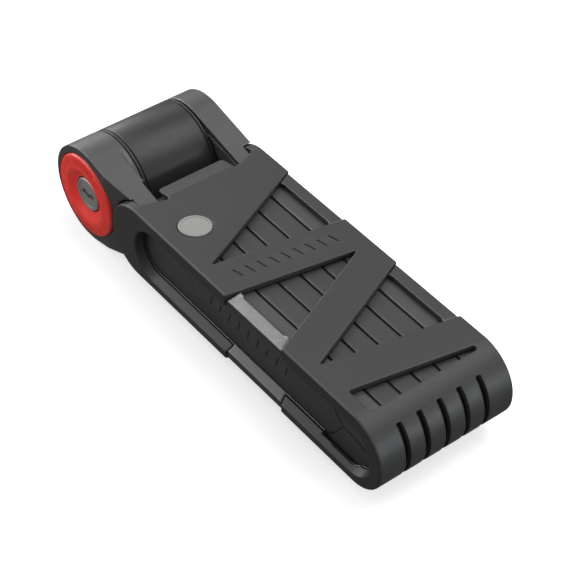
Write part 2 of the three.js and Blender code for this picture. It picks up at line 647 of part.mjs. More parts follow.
place('locking_stud', lockingStud(), 'steel');
place('stud_flange', studFlange(), 'barrel');
place('barrel_housing', barrelHousing(), 'barrel');
place('lock_body', lockBody(), 'steel');
place('thrust_ring', thrustRing(), 'barrel');
place('cylinder_housing', cylinderHousing(), 'brass');
place('retaining_ring', retainingRing(), 'steel');
place('bezel_ring', bezelRing(), 'bezel');
place('key_plug', keyPlug(), 'plug');
for (let i = 0; i < DISCS; i += 1) place(`detainer_disc_${i + 1}`, detainerDisc(i), 'brass');
place('sidebar', sidebar(), 'steel');
place('driver_cam', driverCam(), 'steel');
place('locking_bolt', lockingBolt(), 'steel');
place('bolt_spring', boltSpring(), 'steel');

export default lock;
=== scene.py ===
"""The looks of a folding bike lock stowed in its moulded carrying case.

Everything is built in millimetres in the row frame (+X from the barrel head to the case's tail,
+Z up) and scaled to metres when a piece is finished.
"""

import math

import bmesh
import bpy
from mathutils import Matrix, Vector


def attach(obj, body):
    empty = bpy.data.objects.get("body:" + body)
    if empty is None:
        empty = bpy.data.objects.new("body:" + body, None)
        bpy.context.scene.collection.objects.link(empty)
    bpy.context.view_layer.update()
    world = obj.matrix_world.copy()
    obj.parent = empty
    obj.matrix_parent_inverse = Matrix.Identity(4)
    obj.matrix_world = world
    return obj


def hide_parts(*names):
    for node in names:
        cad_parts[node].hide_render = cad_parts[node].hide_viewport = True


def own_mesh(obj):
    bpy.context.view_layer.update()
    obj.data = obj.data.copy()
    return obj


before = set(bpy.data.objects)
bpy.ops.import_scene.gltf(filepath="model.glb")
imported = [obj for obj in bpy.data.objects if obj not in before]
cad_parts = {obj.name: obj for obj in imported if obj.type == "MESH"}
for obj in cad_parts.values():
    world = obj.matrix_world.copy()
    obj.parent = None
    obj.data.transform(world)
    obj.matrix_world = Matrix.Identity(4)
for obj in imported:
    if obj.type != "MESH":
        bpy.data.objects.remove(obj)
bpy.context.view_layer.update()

MM = 0.001
PI = math.pi

# ---------------------------------------------------------------- sizes, as the CAD has them

AXIS_Z = 20.8
HEAD_X, HEAD_R = -78.6, 20.8
TAIL_PIVOT_X, NEAR_PIVOT_X = 83.0, -42.0
LINKS, PITCH, GAP = 6, 8.88, 0.6
LINK_HALF_H = 13.05
OUTER_FACE_Y = 25.9
CORE_T, CORE_HALF_H, CORE_DEPTH, POCKET_DEPTH = 5.0, 11.0, 1.8, 0.75

CASE_HALF_W, CASE_LOW, CASE_TOP = 30.2, 4.8, 36.8
EAR_X, TAIL_X = -44.1, 99.8
TAIL_TOP_R, TAIL_LOW_R = 17.0, 14.4
BAND_T, SHELL_INSET, PANEL_INSET = 1.0, 1.2, 0.6
CAVITY_HALF_W, CAVITY_HALF_H = 26.2, LINK_HALF_H + 0.3
RAIL_HALF_W = 24.3
LIP_X, LIP_HALF_W = -50.5, 15.2
LIP_CREASE_X, LIP_SLOPE = -43.5, 0.2214
BOSS_XS = (-12.0, 52.0)
BADGE_X, BADGE_Y = -23.8, -16.7
PAD_TOP = 2.0
TAIL_SLOT_W = 2.1
RIVET_ROOM_R = 7.2              # the covers' blind holes over the fold rivets
CORE_HEAD_R, CORE_ROOM = 16.5, 0.2  # an outer core's head end, and the covers' room round a core
LINING_T, LINING_LOW = 0.9, 34.3  # the band turns in round its windows this thick, down to here

# ---------------------------------------------------------------- meshes


def arc(cx, cy, r, a0, a1, n=16):
    """Points on an arc, angles in radians."""
    return [
        (cx + r * math.cos(a0 + (a1 - a0) * i / n), cy + r * math.sin(a0 + (a1 - a0) * i / n))
        for i in range(n + 1)
    ]


def rounded(points, radii, n=5):
    """A polygon with its corners rounded by arcs of about one radius, or of one each."""
    out = []
    count = len(points)
    for i, (x, y) in enumerate(points):
        p = Vector((x, y))
        r = radii[i] if isinstance(radii, tuple) else radii
        a = (Vector(points[i - 1]) - p).normalized()
        b = (Vector(points[(i + 1) % count]) - p).normalized()
        start, end = p + a * r, p + b * r
        for k in range(n + 1):
            t = k / n
            q = start * (1 - t) ** 2 + p * 2 * t * (1 - t) + end * t * t
            out.append((q.x, q.y))
    return out


def place(axis, u, v, w):
    """A point of an outline (u, v) at w along the axis: the outline is (x, z), (x, y) or (y, z)."""
    return {"Y": (u, w, v), "Z": (u, v, w), "X": (w, u, v)}[axis]


def tidy(bm):
    bmesh.ops.remove_doubles(bm, verts=bm.verts, dist=1e-4)
    bmesh.ops.recalc_face_normals(bm, faces=bm.faces)


def as_object(bm, name="tool"):
    tidy(bm)
    mesh = bpy.data.meshes.new(name)
    bm.to_mesh(mesh)
    bm.free()
    obj = bpy.data.objects.new(name, mesh)
    bpy.context.scene.collection.objects.link(obj)
    return obj


def loft(sections, name="tool"):
    """A closed solid through rings of 3-D points, all with the same count."""
    bm = bmesh.new()
    rings = [[bm.verts.new(p) for p in ring] for ring in sections]
    count = len(rings[0])
    for a, b in zip(rings, rings[1:]):
        for i in range(count):
            j = (i + 1) % count
            bm.faces.new((a[i], a[j], b[j], b[i]))
    bm.faces.new(rings[0])
    bm.faces.new(rings[-1])
    return as_object(bm, name)


def unrepeated(points):
    return [p for i, p in enumerate(points) if math.dist(p, points[i - 1]) > 1e-4]


def prism(points, axis, lo, hi, name="tool"):
    points = unrepeated(points)
    return loft([[place(axis, u, v, w) for u, v in points] for w in (lo, hi)], name)


def rectangle(x0, x1, y0, y1):
    return [(x0, y0), (x1, y0), (x1, y1), (x0, y1)]


def box(x0, x1, y0, y1, z0, z1):
    return prism(rectangle(x0, x1, y0, y1), "Z", z0, z1)


def disc(x, z, r, y0, y1, n=96):
    return prism(arc(x, z, r, 0, 2 * PI, n)[:-1], "Y", y0, y1)


def lathe(profile, x, z, n=144, name="tool"):
    """A turned solid about an axis parallel to Y, from (radius, y) points: a loop, or axis to axis."""
    bm = bmesh.new()
    rings = []
    for i in range(n):
        c, s = math.cos(2 * PI * i / n), math.sin(2 * PI * i / n)
        rings.append([bm.verts.new((x + r * c, y, z + r * s)) for r, y in profile])
    count = len(profile)
    closed = profile[0][0] > 1e-6
    for i in range(n):
        a, b = rings[i], rings[(i + 1) % n]
        for k in range(count if closed else count - 1):
            m = (k + 1) % count
            bm.faces.new((a[k], a[m], b[m], b[k]))
    bmesh.ops.remove_doubles(bm, verts=bm.verts, dist=1e-5)
    bmesh.ops.dissolve_degenerate(bm, dist=1e-6, edges=bm.edges)
    return as_object(bm, name)


def soften(profile, r=0.25, n=3, sharp=()):
    """Rounds the corners of a turned profile, apart from those on the axis."""
    out = []
    count = len(profile)
    closed = profile[0][0] > 1e-6
    for i, (x, y) in enumerate(profile):
        if i in sharp or (not closed and i in (0, count - 1)):
            out.append((x, y))
            continue
        p = Vector((x, y))
        a, b = Vector(profile[i - 1]) - p, Vector(profile[(i + 1) % count]) - p
        size = min(r, a.length * 0.45, b.length * 0.45)
        start, end = p + a.normalized() * size, p + b.normalized() * size
        for k in range(n + 1):
            t = k / n
            q = start * (1 - t) ** 2 + p * 2 * t * (1 - t) + end * t * t
            out.append((q.x, q.y))
    return out


def applied(obj):
    """Bakes the object's modifiers into its mesh."""
    dg = bpy.context.evaluated_depsgraph_get()
    mesh = bpy.data.meshes.new_from_object(obj.evaluated_get(dg))
    obj.modifiers.clear()
    old = obj.data
    obj.data = mesh
    bpy.data.meshes.remove(old)
    return obj


def combine(obj, operation, tools):
    for tool in tools:
        m = obj.modifiers.new("cut", "BOOLEAN")
        m.operation = operation
        m.solver = "MANIFOLD"
        m.object = tool
    applied(obj)
    for tool in tools:
        bpy.data.objects.remove(tool)
    if not obj.data.vertices:
        raise RuntimeError("a boolean left nothing of " + obj.name)
    return obj


def cut(obj, *tools):
    return combine(obj, "DIFFERENCE", tools)


def join(obj, *tools):
    return combine(obj, "UNION", tools)


def common(obj, *tools):
    return combine(obj, "INTERSECT", tools)


def moulded(obj, voxel=0.35, passes=3, keep=0.25, details=()):
    """Gives a hard-edged solid the small radii of a moulding, then cuts its fine details."""
    m = obj.modifiers.new("remesh", "REMESH")
    m.mode = "VOXEL"
    m.voxel_size = voxel
    s = obj.modifiers.new("smooth", "SMOOTH")
    s.factor = 0.5
    s.iterations = passes
    applied(obj)
    if details:
        cut(obj, *details)
    d = obj.modifiers.new("reduce", "DECIMATE")
    d.ratio = keep
    return applied(obj)


def finish_piece(obj, name, body, material, nodes=(), smooth=180):
    """Scales a piece to metres, shades it, and ties it to its CAD body."""
    obj.name = name
    obj.data.name = name
    obj.data.transform(Matrix.Scale(MM, 4))
    obj.data.materials.clear()
    obj.data.materials.append(material)
    for p in obj.data.polygons:
        p.use_smooth = True
    if smooth < 180:
        obj.data.set_sharp_from_angle(angle=math.radians(smooth))
    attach(obj, body)
    if nodes:
        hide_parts(*nodes)
    return obj


# ---------------------------------------------------------------- outlines


def stadium(x0, x1, z, r, n=24):
    return arc(x1, z, r, -PI / 2, PI / 2, n) + arc(x0, z, r, PI / 2, 1.5 * PI, n)


def outer_link(head_r, half_h, n=48):
    dx = NEAR_PIVOT_X - HEAD_X
    tangent = math.atan2(half_h, dx) + math.acos(head_r / math.hypot(dx, half_h))
    return (
        arc(TAIL_PIVOT_X, AXIS_Z, half_h, -PI / 2, PI / 2, 24)
        + [(NEAR_PIVOT_X, AXIS_Z + half_h)]
        + arc(HEAD_X, AXIS_Z, head_r, tangent, 2 * PI - tangent, n)
        + [(NEAR_PIVOT_X, AXIS_Z - half_h)]
    )


def case_outline(inset, n=28):
    low = CASE_LOW + TAIL_LOW_R
    return (
        arc(TAIL_X - TAIL_LOW_R, low, TAIL_LOW_R - inset, -PI / 2, 0, n)
        + arc(TAIL_X - TAIL_TOP_R, CASE_TOP - TAIL_TOP_R, TAIL_TOP_R - inset, 0, PI / 2, n)
        + arc(EAR_X, (CASE_TOP + CASE_LOW) / 2, (CASE_TOP - CASE_LOW) / 2 - inset,
              PI / 2, 1.5 * PI, 2 * n)
    )


def case_block(inset, edge=0.9, steps=5):
    """The case's block with its edges rounded all round, side profile swept across the width."""
    half = CASE_HALF_W - inset
    rings = []
    turns = [PI / 2 * i / steps for i in range(steps + 1)]
    levels = [(-half + edge * (1 - math.cos(a)), edge * (1 - math.sin(a))) for a in turns]
    for y, more in levels + [(-y, more) for y, more in reversed(levels)]:
        rings.append([(u, y, v) for u, v in case_outline(inset + more)])
    return loft(rings)


def cavity_outline():
    return (
        arc(TAIL_PIVOT_X, AXIS_Z, CAVITY_HALF_H, -PI / 2, PI / 2, 32)
        + [(-70, AXIS_Z + CAVITY_HALF_H), (-70, AXIS_Z - CAVITY_HALF_H)]
    )


def opening_outline(low, high, end, low_r):
    head_r, high_r = (high - low) / 2, 11.6
    return (
        arc(end - low_r, low + low_r, low_r, -PI / 2, 0, 16)
        + arc(end - high_r, high - high_r, high_r, 0, PI / 2, 16)
        + arc(-33, low + head_r, head_r, PI / 2, 1.5 * PI, 32)[:-1]
    )


def side_opening(side, grow=0.0):
    """The cutter for one side's long opening: its rim slopes outwards, and a pocket widens its tail."""
    inner = opening_outline(11 - grow, 31 + grow, 92.6 + grow, 8.2 + grow)
    outer = opening_outline(8.4 - grow, 32 + grow, 93.9 + grow, 10.4 + grow)
    levels = [(25, inner), (CAVITY_HALF_W, inner), (CASE_HALF_W, outer), (32, outer)]
    obj = loft([[(u, side * y, v) for u, v in outline] for y, outline in levels])
    if grow:
        return obj
    pocket = arc(80, 17, 8.7, -PI / 2, 0, 16) + [(88.7, 20), (66, 20), (66, 8.6)]
    return join(obj, prism(pocket, "Y", *sorted((side * 25, side * 27.9))))


EDGE_Y = CASE_HALF_W + 1
WINDOWS = [
    [(-28.6, EDGE_Y), (6.5, EDGE_Y), (-3.4, -24.4)],
    [(12.3, -EDGE_Y), (46.1, -EDGE_Y), (22.2, 22.9)],
    [(35.1, EDGE_Y), (70.6, EDGE_Y), (59.1, -24.6)],
]
TAIL_WINDOW = [(74.4, -24), (86, -24), (86, 24), (84, 24)]


def shrunk(points, d):
    """A convex outline moved inwards by d."""
    corners = [Vector(p) for p in points]
    count = len(corners)
    area = sum(corners[i - 1].x * corners[i].y - corners[i].x * corners[i - 1].y for i in range(count))
    turn = 1 if area > 0 else -1
    out = []
    for i, corner in enumerate(corners):
        a = (corner - corners[i - 1]).normalized()
        b = (corners[(i + 1) % count] - corner).normalized()
        scale = turn * d / (1 + a.dot(b))
        out.append((corner.x - (a.y + b.y) * scale, corner.y + (a.x + b.x) * scale))
    return out


def shell_window(window):
    """A window of the shell, inside its rails."""
    (ax, ay), (bx, by), (tx, ty) = window
    edge = math.copysign(RAIL_HALF_W, ay)
    corners = [(x + (tx - x) * (edge - y) / (ty - y), edge) for x, y in ((ax, ay), (bx, by))]
    corners.append((tx, max(-RAIL_HALF_W, min(RAIL_HALF_W, ty))))
    return rounded(corners, (3.6, 3.6, 1.8))


def mouth():
    w = CAVITY_HALF_W
    corners = [(-70, -w), (-46, -w), (-42, -LIP_HALF_W), (LIP_X, -LIP_HALF_W), (LIP_X, LIP_HALF_W),
               (-42, LIP_HALF_W), (-46, w), (-70, w)]
    return prism(rounded(corners, (0.3, 0.3, 1.6, 2.2, 2.2, 1.6, 0.3, 0.3)), "Z", 0, 45)


def tail_slots():
    width = TAIL_SLOT_W
    x, z = TAIL_X - TAIL_TOP_R, CASE_TOP - TAIL_TOP_R
    sector = arc(x, z, 19, -0.85, 0.9, 20) + arc(x, z, 12, 0.9, -0.85, 16)
    return [prism(sector, "Y", k * PITCH - width / 2, k * PITCH + width / 2) for k in range(-2, 3)]


def case_cuts():
    w = CAVITY_HALF_W
    room = outer_link(HEAD_R + 0.45, LINK_HALF_H + 0.45)
    tools = [prism(cavity_outline(), "Y", -w, w), mouth()]
    for side in (-1, 1):
        tools.append(side_opening(side))
        tools.append(prism(room, "Y", *sorted((side * 16.2, side * w))))
    return tools + tail_slots()


def boss_outline(x, grow=0.0):
    return rounded(rectangle(x - 14 - grow, x + 14 + grow, -12 - grow, 12 + grow), 3, 6)


def slot_outline(x, r):
    """A screw slot through a boss, long along X."""
    reach = 3.2
    return arc(x + reach, 0, r, -PI / 2, PI / 2, 12) + arc(x - reach, 0, r, PI / 2, 1.5 * PI, 12)


# ---------------------------------------------------------------- materials


def shader(name, colour, roughness, metallic=0.0, **sockets):
    """A Principled material; returns it with its node tree and shader node."""
    mat = bpy.data.materials.new(name)
    mat.use_nodes = True
    tree = mat.node_tree
    bsdf = next(n for n in tree.nodes if n.type == "BSDF_PRINCIPLED")
    bsdf.inputs["Base Color"].default_value = (*colour, 1)
    bsdf.inputs["Roughness"].default_value = roughness
    bsdf.inputs["Metallic"].default_value = metallic
    for key, value in sockets.items():
        bsdf.inputs[key.replace("_", " ")].default_value = value
    return mat, tree, bsdf


def noise(tree, scale, detail=2.0, rough=0.5, stretch=(1, 1, 1)):
    """A noise texture in object space; scale is in features per metre."""
    coords = tree.nodes.new("ShaderNodeTexCoord")
    mapping = tree.nodes.new("ShaderNodeMapping")
    mapping.inputs["Scale"].default_value = stretch
    tree.links.new(coords.outputs["Object"], mapping.inputs["Vector"])
    node = tree.nodes.new("ShaderNodeTexNoise")
    node.inputs["Scale"].default_value = scale
    node.inputs["Detail"].default_value = detail
    node.inputs["Roughness"].default_value = rough
    tree.links.new(mapping.outputs["Vector"], node.inputs["Vector"])
    return node.outputs["Fac"]


def ramp(tree, value, stops):
    node = tree.nodes.new("ShaderNodeValToRGB")
    ends = node.color_ramp.elements
    while len(ends) < len(stops):
        ends.new(0.5)
    for element, (at, colour) in zip(ends, stops):
        element.position = at
        element.color = (*colour, 1)
    tree.links.new(value, node.inputs["Fac"])
    return node.outputs["Color"]


def remap(tree, value, a, b, c, d):
    node = tree.nodes.new("ShaderNodeMapRange")
    for key, x in zip(("From Min", "From Max", "To Min", "To Max"), (a, b, c, d)):
        node.inputs[key].default_value = x
    tree.links.new(value, node.inputs["Value"])
    return node.outputs["Result"]


def bump(tree, bsdf, height, strength, distance):
    node = tree.nodes.new("ShaderNodeBump")
    node.inputs["Strength"].default_value = strength
    node.inputs["Distance"].default_value = distance
    tree.links.new(height, node.inputs["Height"])
    tree.links.new(node.outputs["Normal"], bsdf.inputs["Normal"])


def moulded_plastic(name, colour, roughness, grain=0.35, depth=0.00001, edge_highlight=0.0, specular=0.35):
    """Moulded nylon: fine spark-erosion grain, a faint mottle, and a painted highlight that lightens the
    sharper edges.
    """
    mat, tree, bsdf = shader(name, colour, roughness, Specular_IOR_Level=specular)
    clouds = noise(tree, 26, 2, 0.5)
    base = ramp(tree, clouds, [(0.3, [c * 0.97 for c in colour]), (0.7, [c * 1.03 for c in colour])])
    # Painted highlight: the base colour is lightened on sharp edges (found by pointiness), standing in
    # for the light the rims catch.
    if edge_highlight:
        geometry = tree.nodes.new("ShaderNodeNewGeometry")
        edge = remap(tree, geometry.outputs["Pointiness"], 0.52, 0.62, 0.0, edge_highlight)
        mix = tree.nodes.new("ShaderNodeMix")
        mix.data_type = "RGBA"
        mix.inputs["B"].default_value = (*[min(1, c * 2.2 + 0.01) for c in colour], 1)
        tree.links.new(edge, mix.inputs["Factor"])
        tree.links.new(base, mix.inputs["A"])
        base = mix.outputs["Result"]
    tree.links.new(base, bsdf.inputs["Base Color"])
    mottle = remap(tree, noise(tree, 420, 3), 0.3, 0.7, roughness - 0.03, roughness + 0.04)
    tree.links.new(mottle, bsdf.inputs["Roughness"])
    bump(tree, bsdf, noise(tree, 1000 / grain, 2, 0.6), 0.3, depth)
    return mat


def machined(name, colour, roughness, stretch=(1, 40, 1), scale=60, depth=0.000006, metallic=1.0):
    """Turned or ground metal with fine directional marks."""
    mat, tree, bsdf = shader(name, colour, roughness, metallic)
    marks = noise(tree, scale, 4, 0.6, stretch)
    dark, light = [c * 0.85 for c in colour], [min(1, c * 1.1) for c in colour]
    tones = ramp(tree, marks, [(0.3, dark), (0.7, light)])
    tree.links.new(tones, bsdf.inputs["Base Color"])
    rubbed = remap(tree, marks, 0.3, 0.7, roughness - 0.07, roughness + 0.1)
    tree.links.new(rubbed, bsdf.inputs["Roughness"])
    bump(tree, bsdf, marks, 0.3, depth)
    return mat


# The sixth number of each plastic sets the strength of its painted edge highlight.
MATERIAL = {
    "shell": moulded_plastic("shell_nylon", (0.022, 0.022, 0.0215), 0.32, 0.30, 0.000006, 0.2, 0.6),
    "band": moulded_plastic("band_nylon", (0.031, 0.031, 0.0303), 0.46, 0.26, 0.000010, 0.3, 0.3),
    "cover": moulded_plastic("cover_plastic", (0.033, 0.033, 0.0323), 0.46, 0.40, 0.000008, 0.2),
    "head": moulded_plastic("head_plastic", (0.044, 0.044, 0.043), 0.42, 0.28, 0.000006, 0.2, 0.45),
    "barrel": moulded_plastic("barrel_coat", (0.019, 0.019, 0.0187), 0.40, 0.45, 0.000004, 0.15, 0.3),
    "rubber": moulded_plastic("pad_rubber", (0.012, 0.012, 0.012), 0.78, 0.5, 0.00002),
    "badge": moulded_plastic("badge_inlay", (0.27, 0.27, 0.262), 0.42, 0.5, 0.000004),
    "bezel": moulded_plastic("bezel_red", (0.90, 0.045, 0.035), 0.36, 0.35, 0.000006),
    "steel": machined("hardened_steel", (0.42, 0.43, 0.44), 0.38, (1, 1, 30)),
    "bright": machined("bright_steel", (0.55, 0.56, 0.57), 0.30),
    "plug": machined("plug_metal", (0.29, 0.29, 0.283), 0.38, (1, 1, 1), 900, 0.000004, 0.35),
    "brass": machined("brass", (0.60, 0.43, 0.17), 0.33),
}

# ---------------------------------------------------------------- case


def lip_slope():
    low = CASE_TOP - (LIP_CREASE_X + 60) * LIP_SLOPE
    outline = [(LIP_CREASE_X, CASE_TOP), (-60, low), (-60, 45), (LIP_CREASE_X, 45)]
    return prism(outline, "Y", -LIP_HALF_W, LIP_HALF_W)


def strap_dashes():
    """Slanted dashes engraved in the middle strap, drawn along it."""
    tools = []
    for i in range(9):
        y = -19.4 + i * 4.85
        x = 5.5 + (y + 21.5) * 0.165
        corners = [(x - 2.3, y - 0.75), (x - 2.3, y + 0.05), (x + 2.3, y + 1.15), (x + 2.3, y + 0.35)]
        tools.append(prism(rounded(corners, 0.25, 3), "Z", CASE_TOP - 0.35, 40))
    return tools


def band():
    """The zig-zag band that wraps the shell, with a row of engraved dashes on one strap."""
    obj = case_block(0)
    inside = cut(case_block(BAND_T), box(-60, LIP_CREASE_X, -LIP_HALF_W, LIP_HALF_W, 20, 45))
    for side in (-1, 1):
        lining = common(side_opening(side, 1.2), box(-60, 100, *sorted((side * 26.8, side * 32)), 0, 45))
        cut(inside, lining)
    cut(inside, *[prism(shrunk(w, -LINING_T), "Z", LINING_LOW, 45) for w in [*WINDOWS, TAIL_WINDOW]])
    cut(obj, inside, *case_cuts())
    tools = [prism(rounded(w, (0.5, 0.5, 1.8)), "Z", 0, 45) for w in WINDOWS]
    tools.append(prism(rounded(TAIL_WINDOW, 0.9), "Z", 30, 45))
    tools += [prism(boss_outline(x, 0.3), "Z", 0, 10) for x in BOSS_XS]
    seat = [(BADGE_X + u, BADGE_Y + v) for u, v in ellipse(6.7, 6.1, 0.9)]
    tools += [prism(seat, "Z", CASE_TOP - 0.55, 45), lip_slope()]
    cut(obj, *tools)
    return moulded(obj, 0.3, 3, 0.3, strap_dashes())


def ellipse(a, b, turn, n=48):
    """An ellipse of half axes a and b, turned by an angle in radians."""
    c, s = math.cos(turn), math.sin(turn)
    out = []
    for i in range(n):
        t = 2 * PI * i / n
        u, v = a * math.cos(t), b * math.sin(t)
        out.append((u * c - v * s, u * s + v * c))
    return out


def shell():
    """The inner shell, which comes out as panels in the band's windows."""
    obj = case_block(SHELL_INSET)
    for w in WINDOWS:
        join(obj, common(case_block(PANEL_INSET), prism(shrunk(w, 0.3), "Z", 0, 45)))
    join(obj, *[prism(boss_outline(x), "Z", PAD_TOP + 0.2, 6.8) for x in BOSS_XS])
    windows = [shell_window(shrunk(w, -0.6)) for w in WINDOWS]
    windows.append(rounded(shrunk(TAIL_WINDOW, -0.5), 0.9))
    tools = case_cuts() + [prism(w, "Z", 30, 45) for w in windows]
    for side in (-1, 1):
        room = common(side_opening(side, 1.4), box(-60, 100, *sorted((side * 26.6, side * 32)), 0, 45))
        tools.append(cut(room, *[prism(shrunk(w, 0.3), "Z", 0, 45) for w in WINDOWS]))
    for x in BOSS_XS:
        tools += [prism(slot_outline(x, 2.8), "Z", 0, 12), prism(slot_outline(x, 5.2), "Z", 4.6, 12)]
    for w in [*WINDOWS, TAIL_WINDOW]:
        room = prism(shrunk(w, -LINING_T - 0.2), "Z", LINING_LOW - 0.3, 45)
        tools.append(cut(room, prism(shrunk(w, 0.3), "Z", 30, 45)))
    rail = prism([(-RAIL_HALF_W, 36.1), (-32, 34.1), (-32, 40), (-RAIL_HALF_W, 40)], "X", 0, 60)
    tools.append(common(rail, prism(WINDOWS[1], "Z", 30, 45)))
    tools.append(box(-60, LIP_CREASE_X + 0.2, -LIP_HALF_W - 0.8, LIP_HALF_W + 0.8, 20, 45))
    cut(obj, *tools)
    return moulded(obj, 0.32, 3, 0.3)


def badge():
    def ring(a, b, z):
        return [(BADGE_X + u, BADGE_Y + v, z) for u, v in ellipse(a, b, 0.9)]

    low = CASE_TOP - 0.45
    obj = loft([ring(6.4, 5.8, low), ring(6.4, 5.8, low + 0.6), ring(6.15, 5.55, low + 0.78)])
    return cut(obj, loft([ring(5.5, 4.9, low + 0.6), ring(5.5, 4.9, 38)]))


def pad(x):
    obj = prism(boss_outline(x, 1), "Z", 0, PAD_TOP)
    groove = prism([(-7, -1), (7, -1), (0, 1.3)], "X", x - 20, x + 20)
    cut(obj, groove, prism(slot_outline(x, 3.0), "Z", -1, 4))
    return moulded(obj, 0.3, 4, 0.3)


finish_piece(band(), "band_moulding", "case", MATERIAL["band"], ["case_band"], 50)
finish_piece(shell(), "shell_moulding", "case", MATERIAL["shell"], ["case_shell"])
finish_piece(badge(), "badge_inlay", "case", MATERIAL["badge"], ["case_badge"], 30)
for piece_name, node, boss_x in (("front_pad", "mount_pad_front", BOSS_XS[0]),
                                 ("rear_pad", "mount_pad_rear", BOSS_XS[1])):
    finish_piece(pad(boss_x), piece_name, "case", MATERIAL["rubber"], [node])

# ---------------------------------------------------------------- links


def link_faces(link):
    middle = (link - (LINKS + 1) / 2) * PITCH
    half = (PITCH - GAP) / 2
    if link == 1:
        return -OUTER_FACE_Y, middle + half
    if link == LINKS:
        return middle - half, OUTER_FACE_Y
    return middle - half, middle + half


def core_faces(link):
    y0, y1 = link_faces(link)
    if link == 1:
        return y0 + CORE_DEPTH, y0 + CORE_DEPTH + CORE_T
    if link == LINKS:
        return y1 - CORE_DEPTH - CORE_T, y1 - CORE_DEPTH
    return (y0 + y1 - CORE_T) / 2, (y0 + y1 + CORE_T) / 2


def cover_cuts(link, outline):
    c0, c1 = core_faces(link)
    y0, y1 = link_faces(link)
    y0 += POCKET_DEPTH if link == 1 else -1
    y1 -= POCKET_DEPTH if link == LINKS else -1
    xs = [TAIL_PIVOT_X] if link in (1, LINKS) else [TAIL_PIVOT_X, NEAR_PIVOT_X]
    tools = [prism(outline, "Y", c0 - CORE_ROOM, c1 + CORE_ROOM)]
    return tools + [disc(x, AXIS_Z, RIVET_ROOM_R, y0, y1) for x in xs]


def inner_cover(link):
    obj = prism(stadium(NEAR_PIVOT_X, TAIL_PIVOT_X, AXIS_Z, LINK_HALF_H), "Y", *link_faces(link))
    cut(obj, *cover_cuts(link, stadium(NEAR_PIVOT_X, TAIL_PIVOT_X, AXIS_Z, CORE_HALF_H + CORE_ROOM)))
    return moulded(obj, 0.4, 6, 0.2)


def cheek(slope_x):
    obj = prism(outer_link(HEAD_R, LINK_HALF_H), "Y", -29.5, -OUTER_FACE_Y + 1)
    slope = [(slope_x, -29.5), (slope_x, -31), (90, -31), (90, -OUTER_FACE_Y), (-45.5, -OUTER_FACE_Y)]
    return cut(obj, prism(case_outline(-0.6), "Y", -31, -OUTER_FACE_Y), prism(slope, "Z", -1, 45),
               box(NEAR_PIVOT_X, 100, -31, -OUTER_FACE_Y, -1, 45))


def mirrored(obj):
    obj.data.transform(Matrix.Diagonal((1, -1, 1, 1)))
    obj.data.flip_normals()
    return obj


def keyed_cover():
    y0, y1 = link_faces(1)
    obj = prism(outer_link(HEAD_R, LINK_HALF_H), "Y", y0, y1)
    inner = prism(outer_link(HEAD_R, LINK_HALF_H), "Y", y1 - 1, -17.2)
    cut(inner, box(-56.3, 100, -20, -10, -1, 45))
    join(obj, cheek(-65), inner, disc(HEAD_X, AXIS_Z, HEAD_R, -18.2, -14.55, 160))
    cut(obj, *cover_cuts(1, outer_link(CORE_HEAD_R + CORE_ROOM, CORE_HALF_H + CORE_ROOM)),
        disc(HEAD_X, AXIS_Z, 17.85, -31, -28.2), disc(HEAD_X, AXIS_Z, 11.8, -31, -14))
    return obj


def far_cover():
    obj = prism(outer_link(HEAD_R, LINK_HALF_H), "Y", *link_faces(LINKS))
    join(obj, mirrored(cheek(-51)))
    return cut(obj, *cover_cuts(LINKS, outer_link(CORE_HEAD_R + CORE_ROOM, CORE_HALF_H + CORE_ROOM)),
               box(-100, -44, 10, 19.2, -1, 45),
               disc(HEAD_X, AXIS_Z, 9.8, 27.4, 31), disc(HEAD_X, AXIS_Z, 8.4, 15, 31))


def chevron():
    """Grooves that meet in an arrow on the tail of an outer link's face, drawn for the -Y side."""
    tools = []
    upper = [(66.8, 28.0), (72, 23), (75.2, 20.4), (87.5, 18.8)]
    lower = [(66.8, 9.4), (70.4, 13.2), (75.2, 20.4)]
    for path in (upper, lower):
        left, right = [], []
        for i, (x, z) in enumerate(path):
            a = Vector(path[max(0, i - 1)])
            b = Vector(path[min(len(path) - 1, i + 1)])
            side = (b - a).normalized().orthogonal() * 0.4
            left.append((x + side.x, z + side.y))
            right.append((x - side.x, z - side.y))
        tools.append(prism(left + right[::-1], "Y", -OUTER_FACE_Y - 2, -OUTER_FACE_Y + 0.45))
    return tools


def side_dashes():
    """A row of short engraved dashes along an outer link's face, drawn for the -Y side."""
    tools = []
    for i in range(9):
        x = -1.5 + i * 5.6
        corners = [(x - 1.0, 19.2), (x - 0.2, 19.2), (x + 1.1, 23.6), (x + 0.3, 23.6)]
        tools.append(prism(rounded(corners, 0.2, 3), "Y", -OUTER_FACE_Y - 2, -OUTER_FACE_Y + 0.3))
    return tools


for side, name, cover, node in ((-1, "keyed_link_cover", keyed_cover, "link_1_cover"),
                                (1, "far_link_cover", far_cover, "link_6_cover")):
    grooves = chevron() + side_dashes()
    if side > 0:
        grooves = [mirrored(groove) for groove in grooves]
    outer = moulded(cover(), 0.32, 4, 0.3, grooves)
    finish_piece(outer, name, "folded_links", MATERIAL["head"], [node], 50)
for link in range(2, LINKS):
    finish_piece(inner_cover(link), "inner_link_cover_%d" % link, "folded_links", MATERIAL["cover"],
                 ["link_%d_cover" % link])

